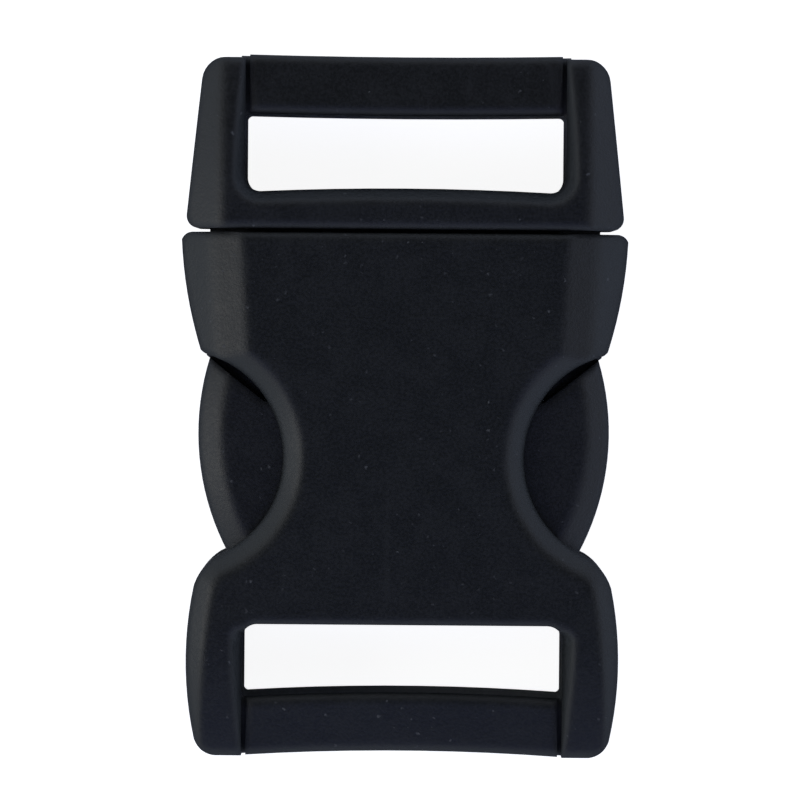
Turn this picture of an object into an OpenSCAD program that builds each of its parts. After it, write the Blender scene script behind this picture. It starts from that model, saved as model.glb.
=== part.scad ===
// Side release buckle for a 25 mm strap: a hollow socket and the two-pronged plug fastened in it.
// Millimetres. X runs across the strap, Y from the socket's web bar to the plug's web bar,
// and Z is up from the flat face that the buckle rests on.

/* [Strap slots and web bars] */
// Clear width of each strap slot
slot_w = 26.4; // [24:0.1:30]
// Clear length of each strap slot, along the strap
slot_l = 6.1; // [5:0.1:8]
// Radius of the slot corners beside the buckle's body
slot_r = 1.3; // [0.6:0.1:2]
// Radius of the slot corners beside the web bars
slot_bar_r = 0.5; // [0.2:0.05:1]
// Width by which the edges of a strap slot are eased
slot_ease_w = 1; // [0.3:0.05:1.2]
// Depth of that easing
slot_ease_d = 1.1; // [0.8:0.1:2]
// Width of each web bar, along the strap
bar_w = 4.85; // [4:0.05:6]
// Thickness of each web bar at its middle
bar_t = 7.8; // [6:0.1:8.2]
// How much lower a web bar's outer edge is than its inner edge
bar_fall = 0.5; // [0:0.05:1]
// Edge radius of a web bar
bar_edge = 0.6; // [0.3:0.05:1]
// How far the socket's web bar bows in at its middle
socket_bow = 0.45; // [0.2:0.05:0.8]
// How far the plug's web bar bows in at its middle
plug_bow = 0.15; // [0.1:0.05:0.5]
// Width of the groove between a web bar and each rail
groove_w = 0.35; // [0.2:0.05:0.8]
// Depth of that groove above and below
groove_d = 0.45; // [0.3:0.05:1]
// Depth of that groove on the bar's inner and outer sides
groove_side_d = 0.1; // [0.05:0.05:0.3]
// Radius on the upper and lower edges of a web bar's ends
bar_end_r = 0.6; // [0.4:0.1:1.4]

/* [Body] */
// Thickness over the flat faces
thick = 10.6; // [10:0.1:12]
// How far each face falls toward the two ends
end_fall = 1; // [0.5:0.05:1.4]
// Length of each end over which the faces fall
end_run = 11.8; // [10:0.1:12]
// Radius on the upper and lower edges of the ends
end_edge = 0.7; // [0.3:0.05:1]
// Radius on the edges of the two faces that meet at the joint
joint_edge = 0.45; // [0.2:0.05:0.8]
// Softness of the ridges between a face and its flanks
ridge_r = 2; // [1:0.1:3.5]

/* [Socket] */
// Width of each side of the mouth beyond the strap slot
mouth_side_w = 5.3; // [4.8:0.05:6]
// Radius of the socket's long side curve
side_r = 36; // [34:1:45]
// How far past the mouth the side curve would be widest
side_peak = 1.1; // [0:0.1:2]
// How far the sides of the mouth lean in above and below the middle
side_draft = 0.15; // [0.05:0.05:0.4]
// Radius of the mouth's outer corners
mouth_corner = 1; // [0.5:0.1:1.6]
// Width of the flanks at the mouth
flank_w = 5.25; // [4.8:0.05:5.6]
// Height that those flanks fall
flank_d = 3.3; // [2.8:0.1:3.6]
// How far the middle of a flank stands out from a straight slope
flank_crown = 0.35; // [0.1:0.05:0.5]
// Radius along the middle of a flank
crown_r = 5; // [2:0.5:8]
// How far the flanks' ridges close in toward the cut-outs, in degrees
flank_turn = 3.2; // [0:0.1:6]
// Width of each rail beside the socket's strap slot
rail_w = 4.6; // [4:0.05:5]
// Radius of the side curve of those rails
rail_side_r = 30; // [24:1:45]
// Radius of the outer corners at the end
end_corner = 2.2; // [1:0.1:3]
// Width of the waist between the two finger cut-outs
waist_w = 19.8; // [18:0.1:21]
// Radius of the finger cut-outs
cut_r = 8.8; // [8:0.1:9.2]
// Distance from the mouth to the middle of the cut-outs
cut_from_mouth = 18.5; // [18.2:0.05:19.4]
// Distance from the socket's strap slot to the middle of the cut-outs
cut_from_slot = 13.65; // [13.2:0.05:15]
// Width of the bevel around the cut-outs and down the rails
rim_w = 1.6; // [0.8:0.05:1.8]
// Depth of that bevel
rim_d = 1.2; // [0.8:0.05:1.4]
// Softness of the ridge between a face and that bevel
rim_soft = 1.4; // [0.4:0.1:1.6]
// Softness of that bevel's outer edge
rim_edge = 0.5; // [0.1:0.05:0.8]
// Radius of the shoulders below the cut-outs
shoulder_r = 4.5; // [3.5:0.1:5.5]
// Width of the bevel round the shoulders
shoulder_rim_w = 1.5; // [0.8:0.05:1.7]
// Depth of that bevel
shoulder_rim_d = 1.05; // [0.7:0.05:1.3]
// Radius of the corners above the cut-outs
hip_r = 1.2; // [0.6:0.1:1.6]

/* [Hollow] */
// Thickness of the upper and lower walls
wall_t = 1.9; // [1.6:0.05:2.2]
// Thickness of the side walls, which the prongs latch behind
side_wall = 2.1; // [1.8:0.05:2.4]
// Thickness of the walls under the flanks
flank_wall = 1.75; // [1.5:0.05:2]
// Thickness of the end wall between the hollow and the strap slot
end_wall = 5; // [4:0.1:5.5]

/* [Plug] */
// Gap left between the plug's frame and the mouth
joint_gap = 0.3; // [0:0.05:0.5]
// Width of the strip between the joint and the plug's strap slot
strip_w = 3.35; // [3:0.05:4]
// How far the strip bows into the strap slot
strip_bow = 0.3; // [0.1:0.05:0.5]
// Width of each rail at the joint
plug_rail_base = 4.9; // [4.4:0.05:5.1]
// Width of each rail at its far end
plug_rail_tip = 3.4; // [2.8:0.05:3.8]
// Width left flat beside each slot before the flank begins
plug_rail_flat = 1.75; // [1.3:0.05:2]
// Slope of the plug's flanks in degrees
plug_flank_slope = 34; // [25:1:38]
// How far the rails stop short of the web bar
rail_set_back = 0.25; // [0.1:0.05:0.5]
// Radius of the frame's corners at the far end
plug_end_corner = 2; // [1:0.1:2.6]
// Clearance all round between the plug and the hollow
fit = 0.25; // [0.15:0.05:0.4]
// How far the plug's neck reaches into the mouth
neck_l = 1.6; // [1:0.1:3]
// Width of the guide tongue
tongue_w = 6; // [5:0.1:7]
// Length of the guide tongue from the mouth
tongue_l = 21.7; // [16:0.1:24]
// Radius of the corners at the guide tongue's end
tongue_end_r = 2.5; // [1:0.1:2.5]
// Width of each prong's arm
arm_w = 2.5; // [2:0.1:3]
// How far the arms' outer sides stand out from the waist where they meet the buttons
arm_out = 1.6; // [1.2:0.1:2]

/* [Buttons] */
// Distance that the buttons' widest point lies inside the mouth's width, each side
button_inset = 1.53; // [1:0.05:2]
// Radius of the buttons' outer curve
button_r = 21; // [18:0.5:24]
// Distance from the mouth to the buttons' widest point
button_from_mouth = 16.5; // [16:0.1:17.5]
// Width of the bevel along the buttons' outer curve
button_bevel_w = 2; // [1.5:0.1:2.8]
// Depth of that bevel
button_bevel_d = 1.2; // [0.8:0.1:1.6]
// Softness of the ridge between a button's faces and that bevel
button_soft = 2; // [0.6:0.1:2.2]
// Softness of the bevel's outer edge
button_edge = 0.5; // [0.2:0.1:0.8]
// Distance from each cut-out's edge to the latch's point below it
latch_drop = 0.1; // [0.05:0.05:0.4]
// Distance of the latch's point inside the button's widest point
latch_tip_in = 0.55; // [0.3:0.05:0.9]
// Slope of the latch faces in degrees
latch_slope = 38; // [34:1:42]
// Radius of the buttons' lower corners
button_corner = 1.2; // [0.6:0.1:1.6]
// Length over which a button's inner side slopes out to its lower end
toe_l = 5.5; // [4:0.1:7]
// Distance that it slopes out
toe_w = 1.5; // [0.5:0.1:2.5]
// Radius where that slope begins
toe_r = 3; // [1:0.5:4]
// Thickness of the rib on each side wall that a latch bears on
rib_t = 3.2; // [2.4:0.1:4]
// Length of those ribs
rib_l = 6; // [5:0.1:7]
// Gap left between each latch and the rib that it bears on
latch_gap = 0; // [0:0.05:0.3]
// Gap left between each of those ribs and the prong's arm beside it
rib_gap = 0.1; // [0.05:0.05:0.5]

/* [Hidden] */
$fn = 128;
// Facets round the widest curves
wide_fn = 720;
black = [0.09, 0.095, 0.105];
plug_black = [0.11, 0.115, 0.125];

// Largest turn between two points of a rounded corner, in degrees
turn_step = 12;
// Points along each fall of the faces
fall_steps = 8;
// Distance by which a shape that only trims edges clears the faces
hair = 0.02;
// Reach of a cutting shape beyond what it cuts
over = 3;
// Depth by which joined forms reach into each other
sink = 1;
// Where the three stretches of the socket join, inside the cut-outs' bevel: how far above and
// below the middle of the cut-outs, and how far past the waist, as shares of their radius
seam_above = 0.6;
seam_below = 0.66;
seam_past = 0.35;

half = thick / 2;
body_l = cut_from_slot + cut_from_mouth;
overall_l = 2 * bar_w + 2 * slot_l + body_l + joint_gap + strip_w;
end_y = overall_l / 2;
slot_half = slot_w / 2;

// Places along the buckle, from the socket's end to the plug's end
socket_bar_y = -end_y + bar_w;
socket_slot_y = socket_bar_y + slot_l;
mouth_y = socket_slot_y + body_l;
plug_y = mouth_y + joint_gap;
plug_slot_y = plug_y + strip_w;
plug_bar_y = plug_slot_y + slot_l;
fall_y = end_y - end_run;

// The socket's side curves, cut-outs and the centres of its rounded corners
mouth_half = slot_half + mouth_side_w;
side_c = [mouth_half - side_r, mouth_y + side_peak];
rail_half = slot_half + rail_w;
rail_c = [rail_half - rail_side_r, (socket_bar_y + socket_slot_y) / 2];
cut_c = [waist_w / 2 + cut_r, mouth_y - cut_from_mouth];
hip_c = meeting(side_c, side_r - hip_r, cut_c, cut_r + hip_r, 1);
shoulder_c = meeting(rail_c, rail_side_r - shoulder_r, cut_c, cut_r + shoulder_r, -1);
end_corner_c = corner_centre(rail_c, rail_side_r, end_corner - end_y, end_corner);
upper_seam = cut_c.y + seam_above * cut_r;
lower_seam = cut_c.y - seam_below * cut_r;
seam_half = waist_w / 2 + seam_past * cut_r;

// The hollow follows the outside at the wall thicknesses
hollow_half = half - wall_t;
flank_rise = flank_d / flank_w;
flank_wall_z = flank_wall * sqrt(1 + flank_rise * flank_rise);
hollow_flank_w = flank_w - side_wall - (wall_t - flank_wall_z) / flank_rise;
hollow_flank_d = hollow_flank_w * flank_rise;
hollow_end = socket_slot_y + end_wall;

// The plug's frame and prongs
plug_end_y = end_y - rail_set_back;
prong_half = hollow_half - fit;
button_c = [mouth_half - button_inset - button_r, mouth_y - button_from_mouth];
button_end_y = hollow_end + fit;
button_corner_c = corner_centre(button_c, button_r, button_end_y + button_corner, button_corner);
arm_top_x = mouth_half - side_wall - hollow_flank_w - 2 * fit;
arm_low_x = waist_w / 2 + arm_out;

// The latches: each one's point, the corner where it meets its arm, and the line of its rib
latch_x = mouth_half - button_inset - latch_tip_in;
latch_y = cut_c.y + sqrt(cut_r * cut_r - pow(cut_c.x - latch_x, 2)) - latch_drop;
latch_dir = [cos(latch_slope), sin(latch_slope)];
latch_in = [arm_low_x, latch_y - (latch_x - arm_low_x) * tan(latch_slope)];
hollow_seam = latch_in.y + fit;
rib_low = latch_in + rib_gap / cos(latch_slope) * latch_dir
    + latch_gap * [-latch_dir.y, latch_dir.x];
rib_high = rib_low + rib_l * unit([arm_top_x, mouth_y] - latch_in);
rib_out_x = latch_x - latch_drop;
rib_out_y = rib_low.y + (rib_out_x - rib_low.x) * tan(latch_slope);

function unit(v) = v / norm(v);
function heading(v) = atan2(v.y, v.x);

// The point at distances r0 and r1 from two centres, on the chosen side of the line between them
function meeting(c0, r0, c1, r1, side) =
    let (
        d = norm(c1 - c0),
        u = unit(c1 - c0),
        a = (r0 * r0 - r1 * r1 + d * d) / (2 * d)
    )
    c0 + a * u + side * sqrt(r0 * r0 - a * a) * [-u.y, u.x];

// The centre, at height y, of a corner of radius r inside the right side of a disc
function corner_centre(disc_c, disc_r, y, r) =
    [disc_c.x + sqrt(pow(disc_r - r, 2) - pow(y - disc_c.y, 2)), y];

// The points of an arc that rounds the corner p between its neighbours a and b
function corner(a, p, b, r) =
    r == 0 ? [p] :
    let (
        u = unit(a - p),
        v = unit(b - p),
        opening = acos(u * v) / 2,
        c = p + unit(u + v) * r / sin(opening),
        first = heading(p + u * r / tan(opening) - c),
        turn = (180 - 2 * opening) * (cross(u, v) < 0 ? 1 : -1),
        n = ceil(abs(turn) / turn_step)
    )
    [for (k = [0 : n]) c + r * [cos(first + turn * k / n), sin(first + turn * k / n)]];

// A polygon's points with each corner rounded to its own radius
function rounded(points, radii) =
    let (n = len(points))
    [for (i = [0 : n - 1])
        each corner(points[(i + n - 1) % n], points[i], points[(i + 1) % n], radii[i])];

// Radius of a curve that bows by b over a half span s
function bow_radius(s, b) = (s * s + b * b) / (2 * b);

// Height of the upper face at a distance along the buckle
fall_r = bow_radius(end_run, end_fall);
function face_z(y) =
    let (past = max(abs(y) - fall_y, 0))
    half - (fall_r - sqrt(fall_r * fall_r - past * past));

// Draws a profile given as lengths and heights, and extrudes it across the buckle
module across(w) {
    rotate([90, 0, 90]) linear_extrude(w, center = true) children();
}

// Draws a profile given as widths and heights, and extrudes it along the buckle
module along(y0, y1) {
    translate([0, y1, 0]) rotate([90, 0, 0]) linear_extrude(y1 - y0) children();
}

module both_sides() {
    children();
    mirror([1, 0, 0]) children();
}

// The stretch where a rimmed disc and its mirror overlap, with a curved flank down each side
module disc_pair(c, r, h, bevel_w, bevel_d, soft, edge) {
    intersection() {
        translate([c.x, c.y, 0]) rimmed_disc(r, h, bevel_w, bevel_d, soft, edge);
        translate([-c.x, c.y, 0]) rimmed_disc(r, h, bevel_w, bevel_d, soft, edge);
    }
}

// A disc with its rim bevelled above and below, each edge softened
module rimmed_disc(r, h, bevel_w, bevel_d, soft, edge) {
    rotate_extrude()
        polygon(rounded(
            [[0, -h], [r - bevel_w, -h], [r, bevel_d - h],
                [r, h - bevel_d], [r - bevel_w, h], [0, h]],
            [0, soft, edge, edge, soft, 0]));
}

// The space outside a rounded corner, from one heading to the other, bevelled if asked
module corner_trim(c, corner_r, from, to, bevelled) {
    w = shoulder_rim_w;
    d = shoulder_rim_d;
    r = corner_r + hair;
    top = half + hair;
    inner = max(r - w - sink, 0);
    plain = [[r, -half - over], [r + over, -half - over], [r + over, half + over], [r, half + over]];
    shaped = rounded(
        [[inner, top], [r - w, top], [r, top - d], [r, d - top], [r - w, -top],
            [inner, -top], [inner, -half - over], [r + over, -half - over],
            [r + over, half + over], [inner, half + over]],
        [0, rim_soft, rim_edge, rim_edge, rim_soft, 0, 0, 0, 0, 0]);
    translate([c.x, c.y, 0]) rotate([0, 0, from])
        rotate_extrude(angle = to - from) polygon(bevelled ? shaped : plain);
}

// The space of one finger cut-out, flared by its bevel
module cut_out() {
    top = half + hair;
    translate([cut_c.x, cut_c.y, 0])
        rotate_extrude()
            polygon(rounded(
                [[0, -half - over], [cut_r + rim_w + over, -half - over],
                    [cut_r + rim_w + over, -top], [cut_r + rim_w, -top], [cut_r, rim_d - top],
                    [cut_r, top - rim_d], [cut_r + rim_w, top], [cut_r + rim_w + over, top],
                    [cut_r + rim_w + over, half + over], [0, half + over]],
                [0, 0, 0, rim_soft, rim_edge, rim_edge, rim_soft, 0, 0, 0]));
}

// Side view of a stretch whose faces, raised as asked, fall toward the end at y1
module end_profile(y0, y1, raised) {
    s = sign(y1);
    ys = [for (k = [0 : fall_steps]) s * (fall_y + (abs(y1) - fall_y) * k / fall_steps)];
    upper = concat([[y0, half + raised]], [for (y = ys) [y, face_z(y) + raised]]);
    lower = [for (i = [len(upper) - 1 : -1 : 0]) [upper[i].x, -upper[i].y]];
    radii = [for (i = [0 : 2 * len(upper) - 1])
        i == len(upper) - 1 || i == len(upper) ? end_edge : 0];
    polygon(rounded(concat(upper, lower), radii));
}

// The strap slot beside the body at y0, open toward the end, with its sides' edges eased, and
// its edge beside the body eased by body_ease. Where that edge is left sharp, the easing of the
// sides starts round. It is drawn for the plug's end.
module slot_space(y0, body_ease) {
    high = half + sink;
    low = half - slot_ease_d;
    out = slot_ease_w * (high - low) / slot_ease_d;
    body_out = body_ease * (high - low) / slot_ease_d;
    corner_x = slot_half - slot_r;
    far = end_y + over;
    across(2 * corner_x)
        polygon([[y0 - body_out, -high], [far, -high], [far, high], [y0 - body_out, high],
            [y0, low], [y0, -low]]);
    along(y0 + slot_r, far)
        polygon([[-slot_half - out, -high], [slot_half + out, -high], [slot_half, -low],
            [slot_half, low], [slot_half + out, high], [-slot_half - out, high],
            [-slot_half, low], [-slot_half, -low]]);
    both_sides()
        translate([corner_x, y0 + slot_r, 0])
            rotate_extrude()
                polygon([[0, -high], [slot_r + body_out, -high], [slot_r, -low],
                    [slot_r, low], [slot_r + body_out, high], [0, high]]);
    if (body_ease == 0)
        both_sides()
            translate([slot_half, y0 + slot_r, 0])
                rotate_extrude()
                    polygon([[0, -high], [out, -high], [0, -low],
                        [0, low], [out, high], [0, high]]);
}

// A bar swept on a wide curve, bowed in at its middle, and made lower and narrower as asked.
// It is drawn for the plug's end, with its inner face at y0 where it meets the rails.
module bowed_bar(y0, bow, lower, inset, reach) {
    r = bow_radius(slot_half, bow);
    inner_z = bar_t / 2 + bar_fall / 2 - lower;
    outer_z = bar_t / 2 - bar_fall / 2 - lower;
    spread = 2 * asin(reach / r);
    e = bar_edge;
    translate([0, y0 + bar_w + r - bow, 0])
        rotate([0, 0, -90 - spread / 2])
            rotate_extrude(angle = spread, $fn = wide_fn)
                polygon(rounded(
                    [[r + inset, -outer_z], [r + bar_w - inset, -inner_z],
                        [r + bar_w - inset, inner_z], [r + inset, outer_z]],
                    [e, e, e, e]));
}

// One web bar: a slab with rounded ends, joined to the rails by a slimmer core
module web_bar(y0, bow) {
    end_x = slot_half - groove_w;
    end_z = (bar_t + bar_fall) / 2 + hair;
    intersection() {
        bowed_bar(y0, bow, 0, 0, slot_half);
        along(y0 - over, end_y + over)
            polygon(rounded(
                [[-end_x, -end_z], [end_x, -end_z], [end_x, end_z], [-end_x, end_z]],
                [bar_end_r, bar_end_r, bar_end_r, bar_end_r]));
    }
    bowed_bar(y0, bow, groove_d, groove_side_d, slot_half + groove_w);
    both_sides()
        translate([slot_half + hair, y0 + sink, 0])
            linear_extrude(bar_t - 2 * groove_d, center = true)
                slot_corner();
}

// The rounded filling of a slot corner beside a web bar
module slot_corner() {
    difference() {
        translate([-slot_bar_r, -slot_bar_r - sink]) square([slot_bar_r + hair, slot_bar_r + sink]);
        translate([-slot_bar_r, -slot_bar_r - sink]) circle(slot_bar_r);
    }
}

// The hollow at the mouth, which follows the socket's sides, drawn in by a clearance
module hollow_form(y0, y1, clearance) {
    intersection() {
        disc_pair(side_c, side_r - side_wall - clearance, hollow_half - clearance + hair,
            hollow_flank_w, hollow_flank_d, 0, 0);
        translate([-mouth_half, y0, -hollow_half + clearance])
            cube([2 * mouth_half, y1 - y0, 2 * (hollow_half - clearance)]);
    }
}

// Everything inside one flank of the mouth, which is crowned and closes in toward the cut-out
module mouth_flank() {
    top = half + hair;
    low = top - flank_d;
    mid = [flank_w, -flank_d] / 2 + flank_crown * unit([flank_d, flank_w]);
    steep = (mid.y + flank_d) / (flank_w - mid.x);
    out = [flank_w + sink, low - sink * steep];
    translate([mouth_half - flank_w, mouth_y, 0])
        rotate([0, 0, -flank_turn])
            along(upper_seam - mouth_y - over, over)
                polygon(rounded(
                    [[-2 * mouth_half, -top], [0, -top], [mid.x, -top - mid.y], [out.x, -out.y],
                        out, [mid.x, top + mid.y], [0, top], [-2 * mouth_half, top]],
                    [0, ridge_r, crown_r, 0, 0, crown_r, ridge_r, 0]));
}

// The wide stretch at the mouth, between its two flanked sides
module socket_mouth() {
    intersection() {
        disc_pair(side_c, side_r, half + hair, side_draft, half - sink, 0, 0);
        mouth_flank();
        mirror([1, 0, 0]) mouth_flank();
        across(2 * mouth_half + over)
            polygon(rounded(
                [[upper_seam, -half], [mouth_y, -half], [mouth_y, half], [upper_seam, half]],
                [0, joint_edge, joint_edge, 0]));
        linear_extrude(thick + over, center = true)
            polygon(rounded(
                [[-mouth_half, 0], [mouth_half, 0], [mouth_half, mouth_y], [-mouth_half, mouth_y]],
                [0, 0, mouth_corner, mouth_corner]));
    }
}

// The frame around the socket's strap slot, from the cut-outs to the end
module socket_frame() {
    intersection() {
        disc_pair(rail_c, rail_side_r, half + hair, rim_w, rim_d, rim_soft, rim_edge);
        across(2 * rail_half + over) end_profile(lower_seam, -end_y, 0);
    }
}

module socket_shell() {
    difference() {
        difference() {
            union() {
                socket_mouth();
                socket_frame();
                translate([-seam_half, lower_seam, -half])
                    cube([2 * seam_half, upper_seam - lower_seam, thick]);
            }
            both_sides() cut_out();
            mirror([0, 1, 0]) slot_space(-socket_slot_y, 0);
        }
        both_sides() {
            corner_trim(hip_c, hip_r, heading(cut_c - hip_c), heading(hip_c - side_c), false);
            corner_trim(shoulder_c, shoulder_r, heading(shoulder_c - rail_c),
                heading(cut_c - shoulder_c), true);
            corner_trim(end_corner_c, end_corner, -90, heading(end_corner_c - rail_c), false);
        }
    }
}

// The rib on a side wall that holds the latch
module latch_rib() {
    linear_extrude(rib_t, center = true)
        polygon([rib_low, [rib_out_x, rib_out_y], [rib_out_x, rib_high.y], rib_high]);
}

module socket() {
    color(black) translate([0, 0, half]) {
        difference() {
            socket_shell();
            hollow_form(hollow_seam, mouth_y + over, 0);
            translate([-mouth_half, hollow_end, -hollow_half])
                cube([2 * mouth_half, hollow_seam - hollow_end + hair, 2 * hollow_half]);
        }
        both_sides() latch_rib();
        mirror([0, 1, 0]) web_bar(-socket_bar_y, socket_bow);
    }
}

// Everything below the plug's upper face and flanks, which fall together toward the end
module plug_upper(base) {
    flat = slot_half + plug_rail_flat;
    deep = thick + over;
    section = rounded(
        [[-base, (flat - base) * tan(plug_flank_slope)], [-flat, 0], [flat, 0],
            [base, (flat - base) * tan(plug_flank_slope)], [base, -deep], [-base, -deep]],
        [0, ridge_r, ridge_r, 0, 0, 0]);
    along(plug_y - over, fall_y) translate([0, half]) polygon(section);
    translate([0, fall_y, half - fall_r])
        rotate([0, -90, 0])
            rotate_extrude(angle = asin((end_run + over) / (fall_r - deep)), $fn = wide_fn)
                polygon([for (p = section) [fall_r + p.y, p.x]]);
}

// The plug's frame: a strip at the joint and a rail on each side of the strap slot
module plug_frame() {
    base = slot_half + plug_rail_base;
    tip = slot_half + plug_rail_tip;
    difference() {
        intersection() {
            plug_upper(base + sink);
            mirror([0, 0, 1]) plug_upper(base + sink);
            across(2 * base + over) plug_profile();
            linear_extrude(thick + over, center = true)
                polygon(rounded(
                    [[-base, plug_y], [base, plug_y], [tip, plug_end_y], [-tip, plug_end_y]],
                    [mouth_corner, mouth_corner, plug_end_corner, plug_end_corner]));
        }
        difference() {
            slot_space(plug_slot_y - strip_bow, slot_ease_w);
            strip_swell();
        }
    }
}

// Side view of the plug's frame just clear of its faces, eased where it meets the mouth
module plug_profile() {
    high = half + hair;
    intersection() {
        end_profile(plug_y, plug_end_y, hair);
        polygon(rounded(
            [[plug_y, -high], [end_y + over, -high], [end_y + over, high], [plug_y, high]],
            [joint_edge, 0, 0, joint_edge]));
    }
}

// The swell of the strip into the slot, whose ends run into the slot's rounded corners
module strip_swell() {
    r = bow_radius(slot_half - slot_r, strip_bow);
    spread = 2 * asin((slot_half - slot_r / 2) / r);
    high = half + sink + hair;
    low = half - slot_ease_d;
    top = r - slot_ease_w * (high - low) / slot_ease_d;
    base = r - strip_w;
    translate([0, plug_slot_y - r, 0])
        rotate([0, 0, 90 - spread / 2])
            rotate_extrude(angle = spread, $fn = wide_fn)
                polygon([[base, -high], [top, -high], [r, -low], [r, low], [top, high], [base, high]]);
}

// One prong: an arm that springs inward, and the button at its end with its latch
module prong() {
    inner_x = arm_low_x - arm_w;
    difference() {
        intersection() {
            translate([button_c.x, button_c.y, 0])
                rimmed_disc(button_r, prong_half + hair, button_bevel_w, button_bevel_d,
                    button_soft, button_edge);
            linear_extrude(2 * prong_half, center = true)
                polygon(rounded(
                    [[latch_x, latch_y] + over * latch_dir, latch_in, [inner_x, latch_in.y],
                        [inner_x, button_end_y + toe_l], [inner_x + toe_w, button_end_y],
                        [mouth_half, button_end_y]],
                    [0, 0, 0, toe_r, button_edge, 0]));
        }
        corner_trim(button_corner_c, button_corner, -90, heading(button_corner_c - button_c), false);
    }
    intersection() {
        hollow_form(latch_in.y - sink, mouth_y, fit);
        linear_extrude(thick, center = true)
            polygon([[arm_top_x - arm_w, mouth_y + sink], [inner_x, latch_in.y],
                [inner_x, latch_in.y - over], [arm_low_x, latch_in.y - over],
                latch_in, [arm_top_x, mouth_y + sink]]);
    }
}

// The tongue that guides the plug into the socket
module tongue() {
    linear_extrude(2 * prong_half, center = true)
        polygon(rounded(
            [[-tongue_w / 2, mouth_y - tongue_l], [tongue_w / 2, mouth_y - tongue_l],
                [tongue_w / 2, mouth_y], [-tongue_w / 2, mouth_y]],
            [tongue_end_r, tongue_end_r, 0, 0]));
}

module plug() {
    color(plug_black) translate([0, 0, half]) {
        plug_frame();
        web_bar(plug_bar_y, plug_bow);
        hollow_form(mouth_y - neck_l, plug_y + sink, fit);
        both_sides() prong();
        tongue();
    }
}

socket();
plug();
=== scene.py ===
import math

import bpy
from mathutils import Matrix, Vector


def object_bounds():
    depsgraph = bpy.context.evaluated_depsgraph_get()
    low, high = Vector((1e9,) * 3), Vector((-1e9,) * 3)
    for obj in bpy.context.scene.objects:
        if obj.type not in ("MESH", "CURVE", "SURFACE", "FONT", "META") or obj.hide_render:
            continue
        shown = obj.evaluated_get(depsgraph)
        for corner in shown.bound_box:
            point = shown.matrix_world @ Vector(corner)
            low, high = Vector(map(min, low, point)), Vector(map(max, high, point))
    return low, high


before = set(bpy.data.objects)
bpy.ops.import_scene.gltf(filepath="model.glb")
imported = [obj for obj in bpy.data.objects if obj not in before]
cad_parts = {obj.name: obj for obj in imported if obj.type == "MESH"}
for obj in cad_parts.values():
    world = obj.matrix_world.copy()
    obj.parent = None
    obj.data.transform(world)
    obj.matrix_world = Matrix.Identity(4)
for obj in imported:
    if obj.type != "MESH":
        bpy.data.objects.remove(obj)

# Side release buckle in black acetal, lying on a pale table under a soft studio tent.
# Metres. X runs across the strap, Y from the socket's web bar to the plug's, Z is up.

MM = 0.001
scene = bpy.context.scene
cad_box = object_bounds()

# The plastic that both mouldings share. Sizes are in mm.
EDGE_RADIUS = 1.0
BEVEL_SAMPLES = 6
GRAIN_SIZE, GRAIN_DEPTH = 0.24, 0.035
CLOUD_SIZE = 2.4
SPECK_SPACING, SPECK_SIZE = 0.62, 0.13
PLASTIC_IOR = 1.48
# Lighter colour on the edges: partly edge wear, partly a painted highlight along ridges and rims
EDGE_WEAR_AND_HIGHLIGHT = (0.035, 0.037, 0.042, 1)
DUST = (0.075, 0.078, 0.082, 1)

# How far each effect moves the tone, from deep to pale, and the roughness
CLOUD_TONE, MOTTLE_TONE, MARK_TONE = 0.3, 0.7, 0.35
# How much of the lighter edge colour goes on: edge wear and painted highlight together
WEAR_AND_HIGHLIGHT_SHARE = 0.35
DEEP_ROUGHNESS, PALE_ROUGHNESS = -0.04, 0.05
DUST_ROUGHNESS = 0.3

# What differs between them. Each mark is an arc, in mm: a flow line, nearly straight, down the
# middle of the socket, and a small arc on the plug's web bar.
MOULDINGS = {
    "socket": {
        "deep": (0.0032, 0.0044, 0.0044, 1),
        "pale": (0.0098, 0.0113, 0.0114, 1),
        "roughness": 0.42,
        "dust_share": 0.36,
        "mark": {"Centre X": 88.7, "Centre Y": -12.0, "Radius": 90.0, "Width": 0.35,
                 "Low Y": -17.0, "High Y": -7.0},
    },
    "plug": {
        "deep": (0.0036, 0.0046, 0.0052, 1),
        "pale": (0.0102, 0.0114, 0.0126, 1),
        "roughness": 0.41,
        "dust_share": 0.24,
        "mark": {"Centre X": 8.6, "Centre Y": 26.4, "Radius": 3.4, "Width": 0.3,
                 "Low Y": 25.2, "High Y": 30.0},
    },
}

# The table, in metres. It glows white to the camera, and only its bounce reaches the buckle.
TABLE_SIZE, TABLE_DROP = 1.2, 0.00005
TABLE_PAINT = (0.86, 0.87, 0.88, 1)
TABLE_BOUNCE = (0.66, 0.68, 0.70, 1)
TABLE_GLOW = 0.9
TABLE_MATT = {"Roughness": 0.9, "Specular IOR Level": 0.2}

# The tent. Limits are parts of a unit direction: X to the right, Y to the plug's end, Z up.
TENT_LEFT, TENT_RIGHT = -0.7, 0.7
TENT_LEFT_LOW, TENT_LEFT_HIGH = (0.74, 0.88, 1.06, 1), (0.84, 0.86, 0.88, 1)
TENT_RIGHT_LOW, TENT_RIGHT_HIGH = (0.74, 0.90, 1.22, 1), (0.56, 0.57, 0.65, 1)
WALL_LOW, WALL_HIGH = 0.1, 0.5
WALL_TOP, ROOF = 0.42, 0.86
OPENING_EDGE, OPENING_FADE = 0.02, 0.5
TENT_OPENING = (0.030, 0.031, 0.018, 1)
TENT_NEAR = (0.31, 0.36, 0.72, 1)
TENT_FAR = (0.10, 0.10, 0.12, 1)
BACKDROP = (0.93, 0.94, 0.95, 1)

# Name, bearing and elevation in degrees, distance and size in metres, radiance, colour
SOFTBOXES = (
    ("left softbox", 186, 33, 0.14, 0.05, 2.1, (1, 0.99, 0.96)),
    ("right softbox", 8, 26, 0.8, 0.3, 0.15, (0.93, 0.96, 1)),
)

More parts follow.
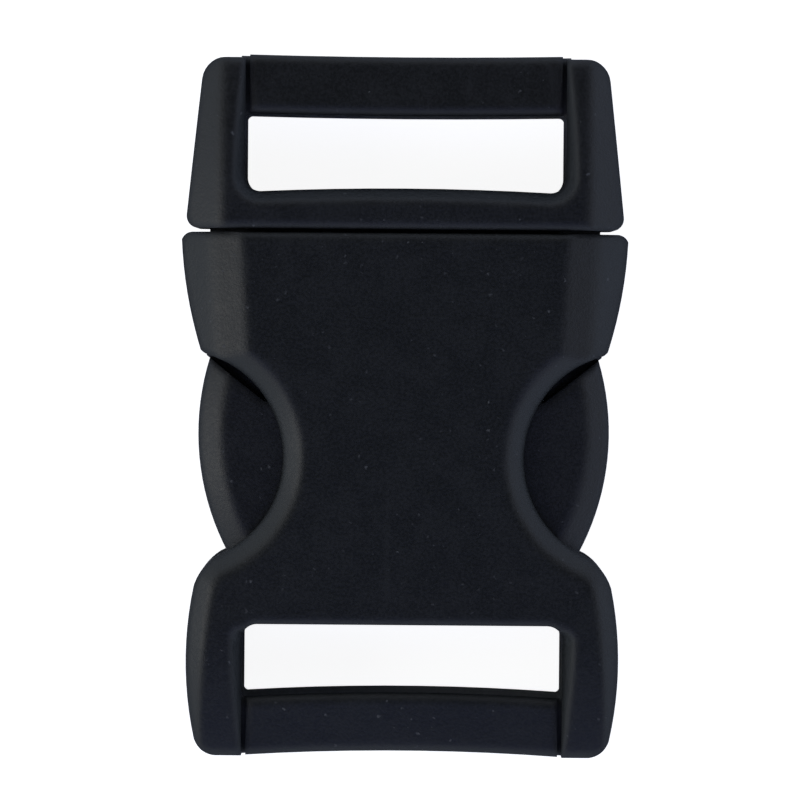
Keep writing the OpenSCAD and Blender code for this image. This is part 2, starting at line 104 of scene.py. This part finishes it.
# The photograph's camera: degrees off straight above toward the plug's end, degrees turned about
# its line of sight, distance in mm, and the pixel where the middle of the buckle shows
LEAN = 1.2
ROLL = 0.45
DISTANCE = 400.0
PIXELS_PER_MM = 12.05
FRAME_PIXELS = 800
CENTRE_X, CENTRE_Y = 403.8, 405.5
SENSOR_MM = 36
CLIP_START, CLIP_END = 0.01, 10


# Node trees

def add(tree, kind, inputs=None, **settings):
    """A node of the given kind, with its settings and with values or links on its inputs."""
    node = tree.nodes.new(kind)
    for name, value in settings.items():
        setattr(node, name, value)
    for name, value in (inputs or {}).items():
        if isinstance(value, bpy.types.NodeSocket):
            tree.links.new(value, node.inputs[name])
        else:
            node.inputs[name].default_value = value
    return node


def math_node(tree, operation, a, b=0.0, clamp=False):
    node = add(tree, "ShaderNodeMath", {0: a, 1: b}, operation=operation, use_clamp=clamp)
    return node.outputs[0]


def vector_node(tree, operation, inputs):
    return add(tree, "ShaderNodeVectorMath", inputs, operation=operation).outputs


def weighted_sum(tree, *terms):
    """The sum of values, each times its own share."""
    parts = [math_node(tree, "MULTIPLY", value, share) for value, share in terms]
    total = parts[0]
    for part in parts[1:]:
        total = math_node(tree, "ADD", total, part)
    return total


def remap(tree, value, low, high, to_low=0.0, to_high=1.0):
    """A value eased from one range into another, and held at the ends."""
    return add(tree, "ShaderNodeMapRange",
               {"Value": value, "From Min": low, "From Max": high, "To Min": to_low,
                "To Max": to_high}, interpolation_type="SMOOTHSTEP").outputs["Result"]


def noise(tree, place, scale, detail, **inputs):
    return add(tree, "ShaderNodeTexNoise",
               {"Vector": place, "Scale": scale, "Detail": detail, **inputs}).outputs


def blend_colours(tree, share, first, second):
    # Inputs 6 and 7 and output 2 are the colour sockets of a mix node
    node = add(tree, "ShaderNodeMix", {0: share, 6: first, 7: second}, data_type="RGBA")
    return node.outputs[2]


def camera_only(tree, seen, unseen):
    """One shader for what the camera sees directly, and another for all other rays."""
    camera_ray = add(tree, "ShaderNodeLightPath").outputs["Is Camera Ray"]
    return add(tree, "ShaderNodeMixShader", {0: camera_ray, 1: unseen, 2: seen}).outputs[0]


def place_mm(tree):
    """The place on the buckle in millimetres."""
    place = add(tree, "ShaderNodeTexCoord").outputs["Object"]
    return vector_node(tree, "SCALE", {0: place, "Scale": 1 / MM})[0]


def effect(name, inputs, outputs):
    """An effect group with named float inputs and named outputs, and its two end nodes."""
    group = bpy.data.node_groups.new(name, "ShaderNodeTree")
    for label in inputs:
        group.interface.new_socket(label, in_out="INPUT", socket_type="NodeSocketFloat")
    for label, kind in outputs.items():
        group.interface.new_socket(label, in_out="OUTPUT", socket_type=kind)
    given, result = group.nodes.new("NodeGroupInput"), group.nodes.new("NodeGroupOutput")
    return group, given.outputs, result.inputs


def use(tree, name, values):
    return add(tree, "ShaderNodeGroup", values, node_tree=effects[name]).outputs


def clear_tree(owner):
    """The empty node tree of a new material or world."""
    owner.use_nodes = True
    owner.node_tree.nodes.clear()
    return owner.node_tree


# Effects that both mouldings share

def make_moulded_grain():
    """The fine bead-blasted surface of the mould, as a height that feeds a bump."""
    fine_share, coarse_share, coarse_pitch = 0.65, 0.35, 0.31
    tree, given, result = effect("moulded grain", ["Grain Size"],
                                 {"Height": "NodeSocketFloat", "Mottle": "NodeSocketFloat"})
    place = place_mm(tree)
    pitch = math_node(tree, "DIVIDE", 1.0, given["Grain Size"])
    fine = noise(tree, place, pitch, 2.0, Roughness=0.6)["Fac"]
    coarse = noise(tree, place, math_node(tree, "MULTIPLY", pitch, coarse_pitch), 1.0)["Fac"]
    height = weighted_sum(tree, (fine, fine_share), (coarse, coarse_share))
    tree.links.new(height, result["Height"])
    tree.links.new(remap(tree, fine, 0.3, 0.7), result["Mottle"])
    return tree


def make_cooling_clouds():
    """Faint clouds left where the melt cooled unevenly."""
    tree, given, result = effect("cooling clouds", ["Cloud Size"],
                                 {"Clouds": "NodeSocketFloat"})
    scale = math_node(tree, "DIVIDE", 1.0, given["Cloud Size"])
    clouds = noise(tree, place_mm(tree), scale, 3.0, Roughness=0.55, Distortion=0.4)["Fac"]
    tree.links.new(remap(tree, clouds, 0.34, 0.68), result["Clouds"])
    return tree


def make_dust():
    """Pale specks and short fibres of dust, gathered in patches."""
    bend_scale, bend_reach = 2.5, 0.5
    patch_scale, sparsest = 0.11, 0.3
    smallest_speck, faintest_speck = 0.3, 0.4
    tree, given, result = effect("settled dust", ["Spacing", "Speck Size", "Share"],
                                 {"Dust": "NodeSocketFloat"})
    place = place_mm(tree)

    # A bent place makes round cells crooked, so that some specks turn into fibres
    wobble = noise(tree, place, bend_scale, 1.0)["Color"]
    bend = vector_node(tree, "SUBTRACT", {0: wobble, 1: (0.5, 0.5, 0.5)})[0]
    bend = vector_node(tree, "SCALE", {0: bend, "Scale": bend_reach})[0]
    crooked = vector_node(tree, "ADD", {0: place, 1: bend})[0]
    cells = add(tree, "ShaderNodeTexVoronoi",
                {"Vector": crooked, "Scale": math_node(tree, "DIVIDE", 1.0, given["Spacing"])},
                feature="F1", voronoi_dimensions="3D").outputs
    pick = add(tree, "ShaderNodeSeparateColor", {"Color": cells["Color"]}).outputs

    patches = noise(tree, place, patch_scale, 0.0)["Fac"]
    density = remap(tree, patches, 0.4, 0.6, sparsest, 1.0)
    chosen = math_node(tree, "LESS_THAN", pick["Red"],
                       math_node(tree, "MULTIPLY", density, given["Share"]))
    reach = math_node(tree, "DIVIDE", given["Speck Size"], given["Spacing"])
    reach = math_node(tree, "MULTIPLY", reach,
                      math_node(tree, "ADD", pick["Green"], smallest_speck))
    near = math_node(tree, "SUBTRACT", 1.0,
                     math_node(tree, "DIVIDE", cells["Distance"], reach), clamp=True)
    shade = math_node(tree, "MULTIPLY", near,
                      math_node(tree, "ADD", pick["Blue"], faintest_speck))
    tree.links.new(math_node(tree, "MULTIPLY", shade, chosen, clamp=True), result["Dust"])
    return tree


def make_mould_mark():
    """A faint arc left by the mould or by the flow of the melt: places and sizes are in mm."""
    fade_length = 1.5
    tree, given, result = effect("mould mark", ["Centre X", "Centre Y", "Radius", "Width",
                                                "Low Y", "High Y"],
                                 {"Mark": "NodeSocketFloat"})
    place = add(tree, "ShaderNodeSeparateXYZ", {0: place_mm(tree)}).outputs
    centre = add(tree, "ShaderNodeCombineXYZ", {0: given["Centre X"], 1: given["Centre Y"]})
    flat = add(tree, "ShaderNodeCombineXYZ", {0: place["X"], 1: place["Y"]})
    away = vector_node(tree, "DISTANCE", {0: flat.outputs[0], 1: centre.outputs[0]})["Value"]
    off = math_node(tree, "ABSOLUTE", math_node(tree, "SUBTRACT", away, given["Radius"]))
    line = remap(tree, math_node(tree, "DIVIDE", off, given["Width"]), 1.0, 0.0)
    start = math_node(tree, "SUBTRACT", place["Y"], given["Low Y"])
    stop = math_node(tree, "SUBTRACT", given["High Y"], place["Y"])
    reach = remap(tree, math_node(tree, "MINIMUM", start, stop), 0.0, fade_length)
    tree.links.new(math_node(tree, "MULTIPLY", line, reach), result["Mark"])
    return tree


def make_eased_edges():
    """The soft radius on every edge of a moulding, and a mask of where it is."""
    flat_match, edge_match = 0.995, 0.8
    tree, given, result = effect("eased edges", ["Radius"],
                                 {"Edge": "NodeSocketFloat", "Normal": "NodeSocketVector"})
    radius = math_node(tree, "MULTIPLY", given["Radius"], MM)
    eased = add(tree, "ShaderNodeBevel", {"Radius": radius},
                samples=BEVEL_SAMPLES).outputs["Normal"]
    plain = add(tree, "ShaderNodeNewGeometry").outputs["Normal"]
    match = vector_node(tree, "DOT_PRODUCT", {0: eased, 1: plain})["Value"]
    tree.links.new(remap(tree, match, flat_match, edge_match), result["Edge"])
    tree.links.new(eased, result["Normal"])
    return tree


# Materials

def make_acetal(name, deep, pale, roughness, dust_share, mark):
    """Black acetal as moulded: satin, finely grained, a little uneven, with dust on it."""
    material = bpy.data.materials.new(name)
    tree = clear_tree(material)
    edges = use(tree, "edges", {"Radius": EDGE_RADIUS})
    grain = use(tree, "grain", {"Grain Size": GRAIN_SIZE})
    clouds = use(tree, "clouds", {"Cloud Size": CLOUD_SIZE})["Clouds"]
    dust = use(tree, "dust", {"Spacing": SPECK_SPACING, "Speck Size": SPECK_SIZE,
                              "Share": dust_share})["Dust"]
    trace = use(tree, "mark", mark)["Mark"]
    tone = weighted_sum(tree, (clouds, CLOUD_TONE), (grain["Mottle"], MOTTLE_TONE),
                        (trace, MARK_TONE))
    colour = blend_colours(tree, tone, deep, pale)
    # Edges lightened by the eased-edge mask: partly wear, partly a painted highlight along ridges
    # and rims
    worn_and_lit = math_node(tree, "MULTIPLY", edges["Edge"], WEAR_AND_HIGHLIGHT_SHARE)
    colour = blend_colours(tree, worn_and_lit, colour, EDGE_WEAR_AND_HIGHLIGHT)
    colour = blend_colours(tree, dust, colour, DUST)
    gloss = remap(tree, tone, 0.0, 1.0, roughness + DEEP_ROUGHNESS, roughness + PALE_ROUGHNESS)
    gloss = math_node(tree, "ADD", gloss, math_node(tree, "MULTIPLY", dust, DUST_ROUGHNESS))
    bump = add(tree, "ShaderNodeBump", {"Height": grain["Height"],
                                        "Distance": GRAIN_DEPTH * MM, "Normal": edges["Normal"]})
    skin = add(tree, "ShaderNodeBsdfPrincipled",
               {"Base Color": colour, "Roughness": gloss, "IOR": PLASTIC_IOR,
                "Normal": bump.outputs["Normal"]})
    add(tree, "ShaderNodeOutputMaterial", {"Surface": skin.outputs["BSDF"]})
    return material


def make_table_white():
    """A pale matt table top that glows white to the camera and only to it."""
    material = bpy.data.materials.new("pale table")
    tree = clear_tree(material)
    seen = add(tree, "ShaderNodeBsdfPrincipled",
               {"Base Color": TABLE_PAINT, "Emission Color": (1, 1, 1, 1),
                "Emission Strength": TABLE_GLOW, **TABLE_MATT})
    unseen = add(tree, "ShaderNodeBsdfPrincipled", {"Base Color": TABLE_BOUNCE, **TABLE_MATT})
    shown = camera_only(tree, seen.outputs[0], unseen.outputs[0])
    add(tree, "ShaderNodeOutputMaterial", {"Surface": shown})
    return material


# Studio

def make_table():
    """A wide table top, a hair below the buckle so that their faces don't share a plane."""
    half = TABLE_SIZE / 2
    mesh = bpy.data.meshes.new("table")
    mesh.from_pydata([(-half, -half, 0), (half, -half, 0), (half, half, 0), (-half, half, 0)],
                     [], [(0, 1, 2, 3)])
    table = bpy.data.objects.new("table", mesh)
    table.location.z = -TABLE_DROP
    scene.collection.objects.link(table)
    mesh.materials.append(make_table_white())


def make_tent():
    """A soft tent: walls brighter on the left, bluer low down, and a dark opening overhead."""
    world = bpy.data.worlds.new("studio tent")
    scene.world = world
    tree = clear_tree(world)
    way = add(tree, "ShaderNodeSeparateXYZ",
              {0: add(tree, "ShaderNodeTexCoord").outputs["Generated"]}).outputs
    side = remap(tree, way["X"], TENT_LEFT, TENT_RIGHT)
    low = blend_colours(tree, side, TENT_LEFT_LOW, TENT_RIGHT_LOW)
    high = blend_colours(tree, side, TENT_LEFT_HIGH, TENT_RIGHT_HIGH)
    wall = blend_colours(tree, remap(tree, way["Z"], WALL_LOW, WALL_HIGH), low, high)
    near = remap(tree, way["Y"], -OPENING_EDGE, -OPENING_FADE)
    far = remap(tree, way["Y"], OPENING_EDGE, OPENING_FADE)
    roof = blend_colours(tree, near, TENT_OPENING, TENT_NEAR)
    roof = blend_colours(tree, far, roof, TENT_FAR)
    tint = blend_colours(tree, remap(tree, way["Z"], WALL_TOP, ROOF), wall, roof)
    shade = add(tree, "ShaderNodeBackground", {"Color": tint, "Strength": 1.0})
    backdrop = add(tree, "ShaderNodeBackground", {"Color": BACKDROP, "Strength": 1.0})
    shown = camera_only(tree, backdrop.outputs[0], shade.outputs[0])
    add(tree, "ShaderNodeOutputWorld", {"Surface": shown})


def make_softbox(name, bearing, elevation, distance, size, radiance, colour):
    """A square softbox aimed at the buckle, of the given brightness."""
    light = bpy.data.lights.new(name, "AREA")
    light.shape = "SQUARE"
    light.size = size
    light.energy = radiance * math.pi * size * size
    light.color = colour
    lamp = bpy.data.objects.new(name, light)
    turn, tilt = math.radians(bearing), math.radians(elevation)
    away = Vector((math.cos(turn) * math.cos(tilt), math.sin(turn) * math.cos(tilt),
                   math.sin(tilt)))
    lamp.location = away * distance
    lamp.rotation_euler = away.to_track_quat("Z", "Y").to_euler()
    scene.collection.objects.link(lamp)


def make_camera():
    """The photograph's camera: nearly overhead, with a long lens."""
    middle = Vector((0, 0, (cad_box[0].z + cad_box[1].z) / 2))
    back = Vector((0, math.tan(math.radians(LEAN)), 1)).normalized()
    right = Vector((0, 1, 0)).cross(back).normalized()
    up = back.cross(right)
    turn = math.radians(ROLL)
    right, up = (math.cos(turn) * right + math.sin(turn) * up,
                 math.cos(turn) * up - math.sin(turn) * right)
    camera = bpy.data.cameras.new("camera")
    camera.sensor_width = SENSOR_MM
    camera.lens = SENSOR_MM * DISTANCE * PIXELS_PER_MM / FRAME_PIXELS
    camera.clip_start, camera.clip_end = CLIP_START, CLIP_END
    aim = (FRAME_PIXELS / 2 - CENTRE_X) * right + (CENTRE_Y - FRAME_PIXELS / 2) * up
    place = middle + back * DISTANCE * MM + aim * MM / PIXELS_PER_MM
    eye = bpy.data.objects.new("camera", camera)
    eye.matrix_world = Matrix.Translation(place) @ Matrix((right, up, back)).transposed().to_4x4()
    scene.collection.objects.link(eye)
    scene.camera = eye


effects = {
    "grain": make_moulded_grain(),
    "clouds": make_cooling_clouds(),
    "dust": make_dust(),
    "edges": make_eased_edges(),
    "mark": make_mould_mark(),
}

for name, finish in MOULDINGS.items():
    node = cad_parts[name]
    acetal = make_acetal(name + " acetal", **finish)
    for material_slot in node.material_slots:
        material_slot.material = acetal

make_table()
make_tent()
for softbox in SOFTBOXES:
    make_softbox(*softbox)
make_camera()

scene.view_settings.view_transform = "Standard"
